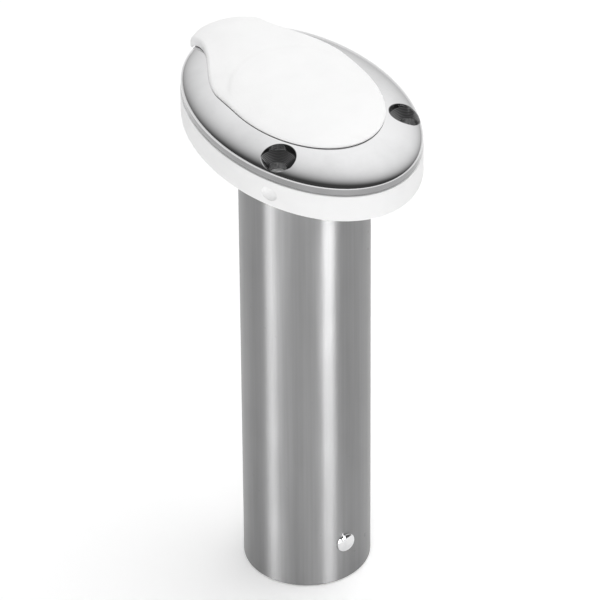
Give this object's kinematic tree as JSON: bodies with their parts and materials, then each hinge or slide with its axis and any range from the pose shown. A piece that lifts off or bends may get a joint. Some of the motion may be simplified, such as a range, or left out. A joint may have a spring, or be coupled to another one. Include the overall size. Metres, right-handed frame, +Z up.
{
  "type": "rod holder",
  "caption": "Flush-mount fishing rod holder: a straight steel tube under an oval deck flange, with a liner, a cross pin, a thick gasket and a hinged, strapped cap.",
  "frame": {"origin": "where the tube's axis crosses the deck plane, which is the underside of the gasket", "axes": "+Z up along the tube's axis, +X from the strap's hinge towards the cap's thumb notch, along the oval's long axis"},
  "size_m": [0.1185, 0.0748, 0.2088],
  "materials": {
    "polished_steel": "mirror-polished cast stainless steel",
    "brushed_steel": "satin, brushed along the tube",
    "weld_steel": "as welded, lightly dressed",
    "pin_steel": "drawn stainless rod",
    "pin_dome_steel": "polished weld domes",
    "white_gasket": "moulded white PVC, smooth",
    "white_cap": "moulded white PVC, finely grained",
    "white_web": "moulded white PVC, thin and flexible",
    "white_liner": "extruded white PVC"
  },
  "bodies": {
    "holder": {"flange": "polished_steel", "tube": "brushed_steel", "tube_weld": "weld_steel", "gimbal_pin": "pin_steel", "pin_weld_front": "pin_dome_steel", "pin_weld_back": "pin_dome_steel", "liner": "white_liner", "gasket": "white_gasket", "strap_hinge": "white_web"},
    "cap": {"cap": "white_cap"}
  },
  "joints": [
    {"name": "cap_hinge", "type": "hinge", "parent": "holder", "child": "cap", "pos_m": [-0.0641, 0, 0.0128], "axis": [0, -1, 0], "range_deg": [0, 170]}
  ]
}
